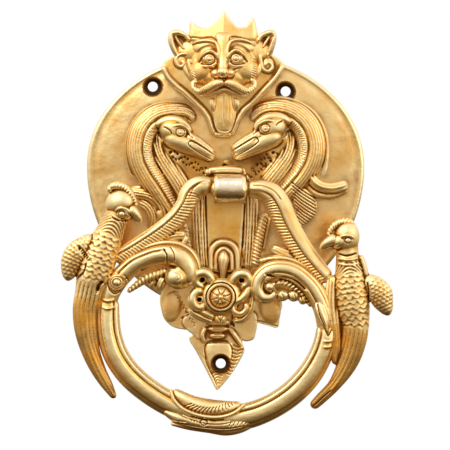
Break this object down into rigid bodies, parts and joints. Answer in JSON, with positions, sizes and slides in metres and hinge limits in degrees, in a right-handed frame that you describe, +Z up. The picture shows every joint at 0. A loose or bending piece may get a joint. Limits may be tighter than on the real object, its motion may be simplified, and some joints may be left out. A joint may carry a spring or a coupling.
{
  "type": "door knocker",
  "caption": "Cast brass door knocker: dished plate with a crowned lion mask and two swans, and a swinging ring with two birds.",
  "frame": {"origin": "on the door's face, behind the middle of the dished plate", "axes": "+Z up the door, -Y out of the door towards the visitor, +Y into the door, +X to the visitor's right"},
  "size_m": [0.1779, 0.0303, 0.2285],
  "materials": {
    "cast_brass": "sand cast, hand chased and polished, with dark patina left in the hollows",
    "burnished_brass": "polished by handling, with slight patina in the grooves",
    "strip_brass": "rolled strip, pale and bright"
  },
  "bodies": {
    "backplate": {"back_plate": "cast_brass", "mask_shield": "cast_brass", "lion_mask": "cast_brass", "breast_panel": "cast_brass", "left_swan": "cast_brass", "right_swan": "cast_brass", "tail_leaf": "cast_brass", "hinge_strap": "strip_brass"},
    "knocker": {"knocker_ring": "burnished_brass", "knocker_yoke": "cast_brass", "left_scroll": "burnished_brass", "right_scroll": "burnished_brass", "left_bird": "cast_brass", "right_bird": "cast_brass", "rosette_mount": "burnished_brass", "rosette_rivet": "burnished_brass", "ring_clasp": "cast_brass", "striker_stud": "cast_brass"}
  },
  "joints": [
    {"name": "knocker_swing", "type": "hinge", "parent": "backplate", "child": "knocker", "pos_m": [0.0024, -0.019, -0.0124], "axis": [-1, 0, 0], "range_deg": [0, 150]}
  ]
}
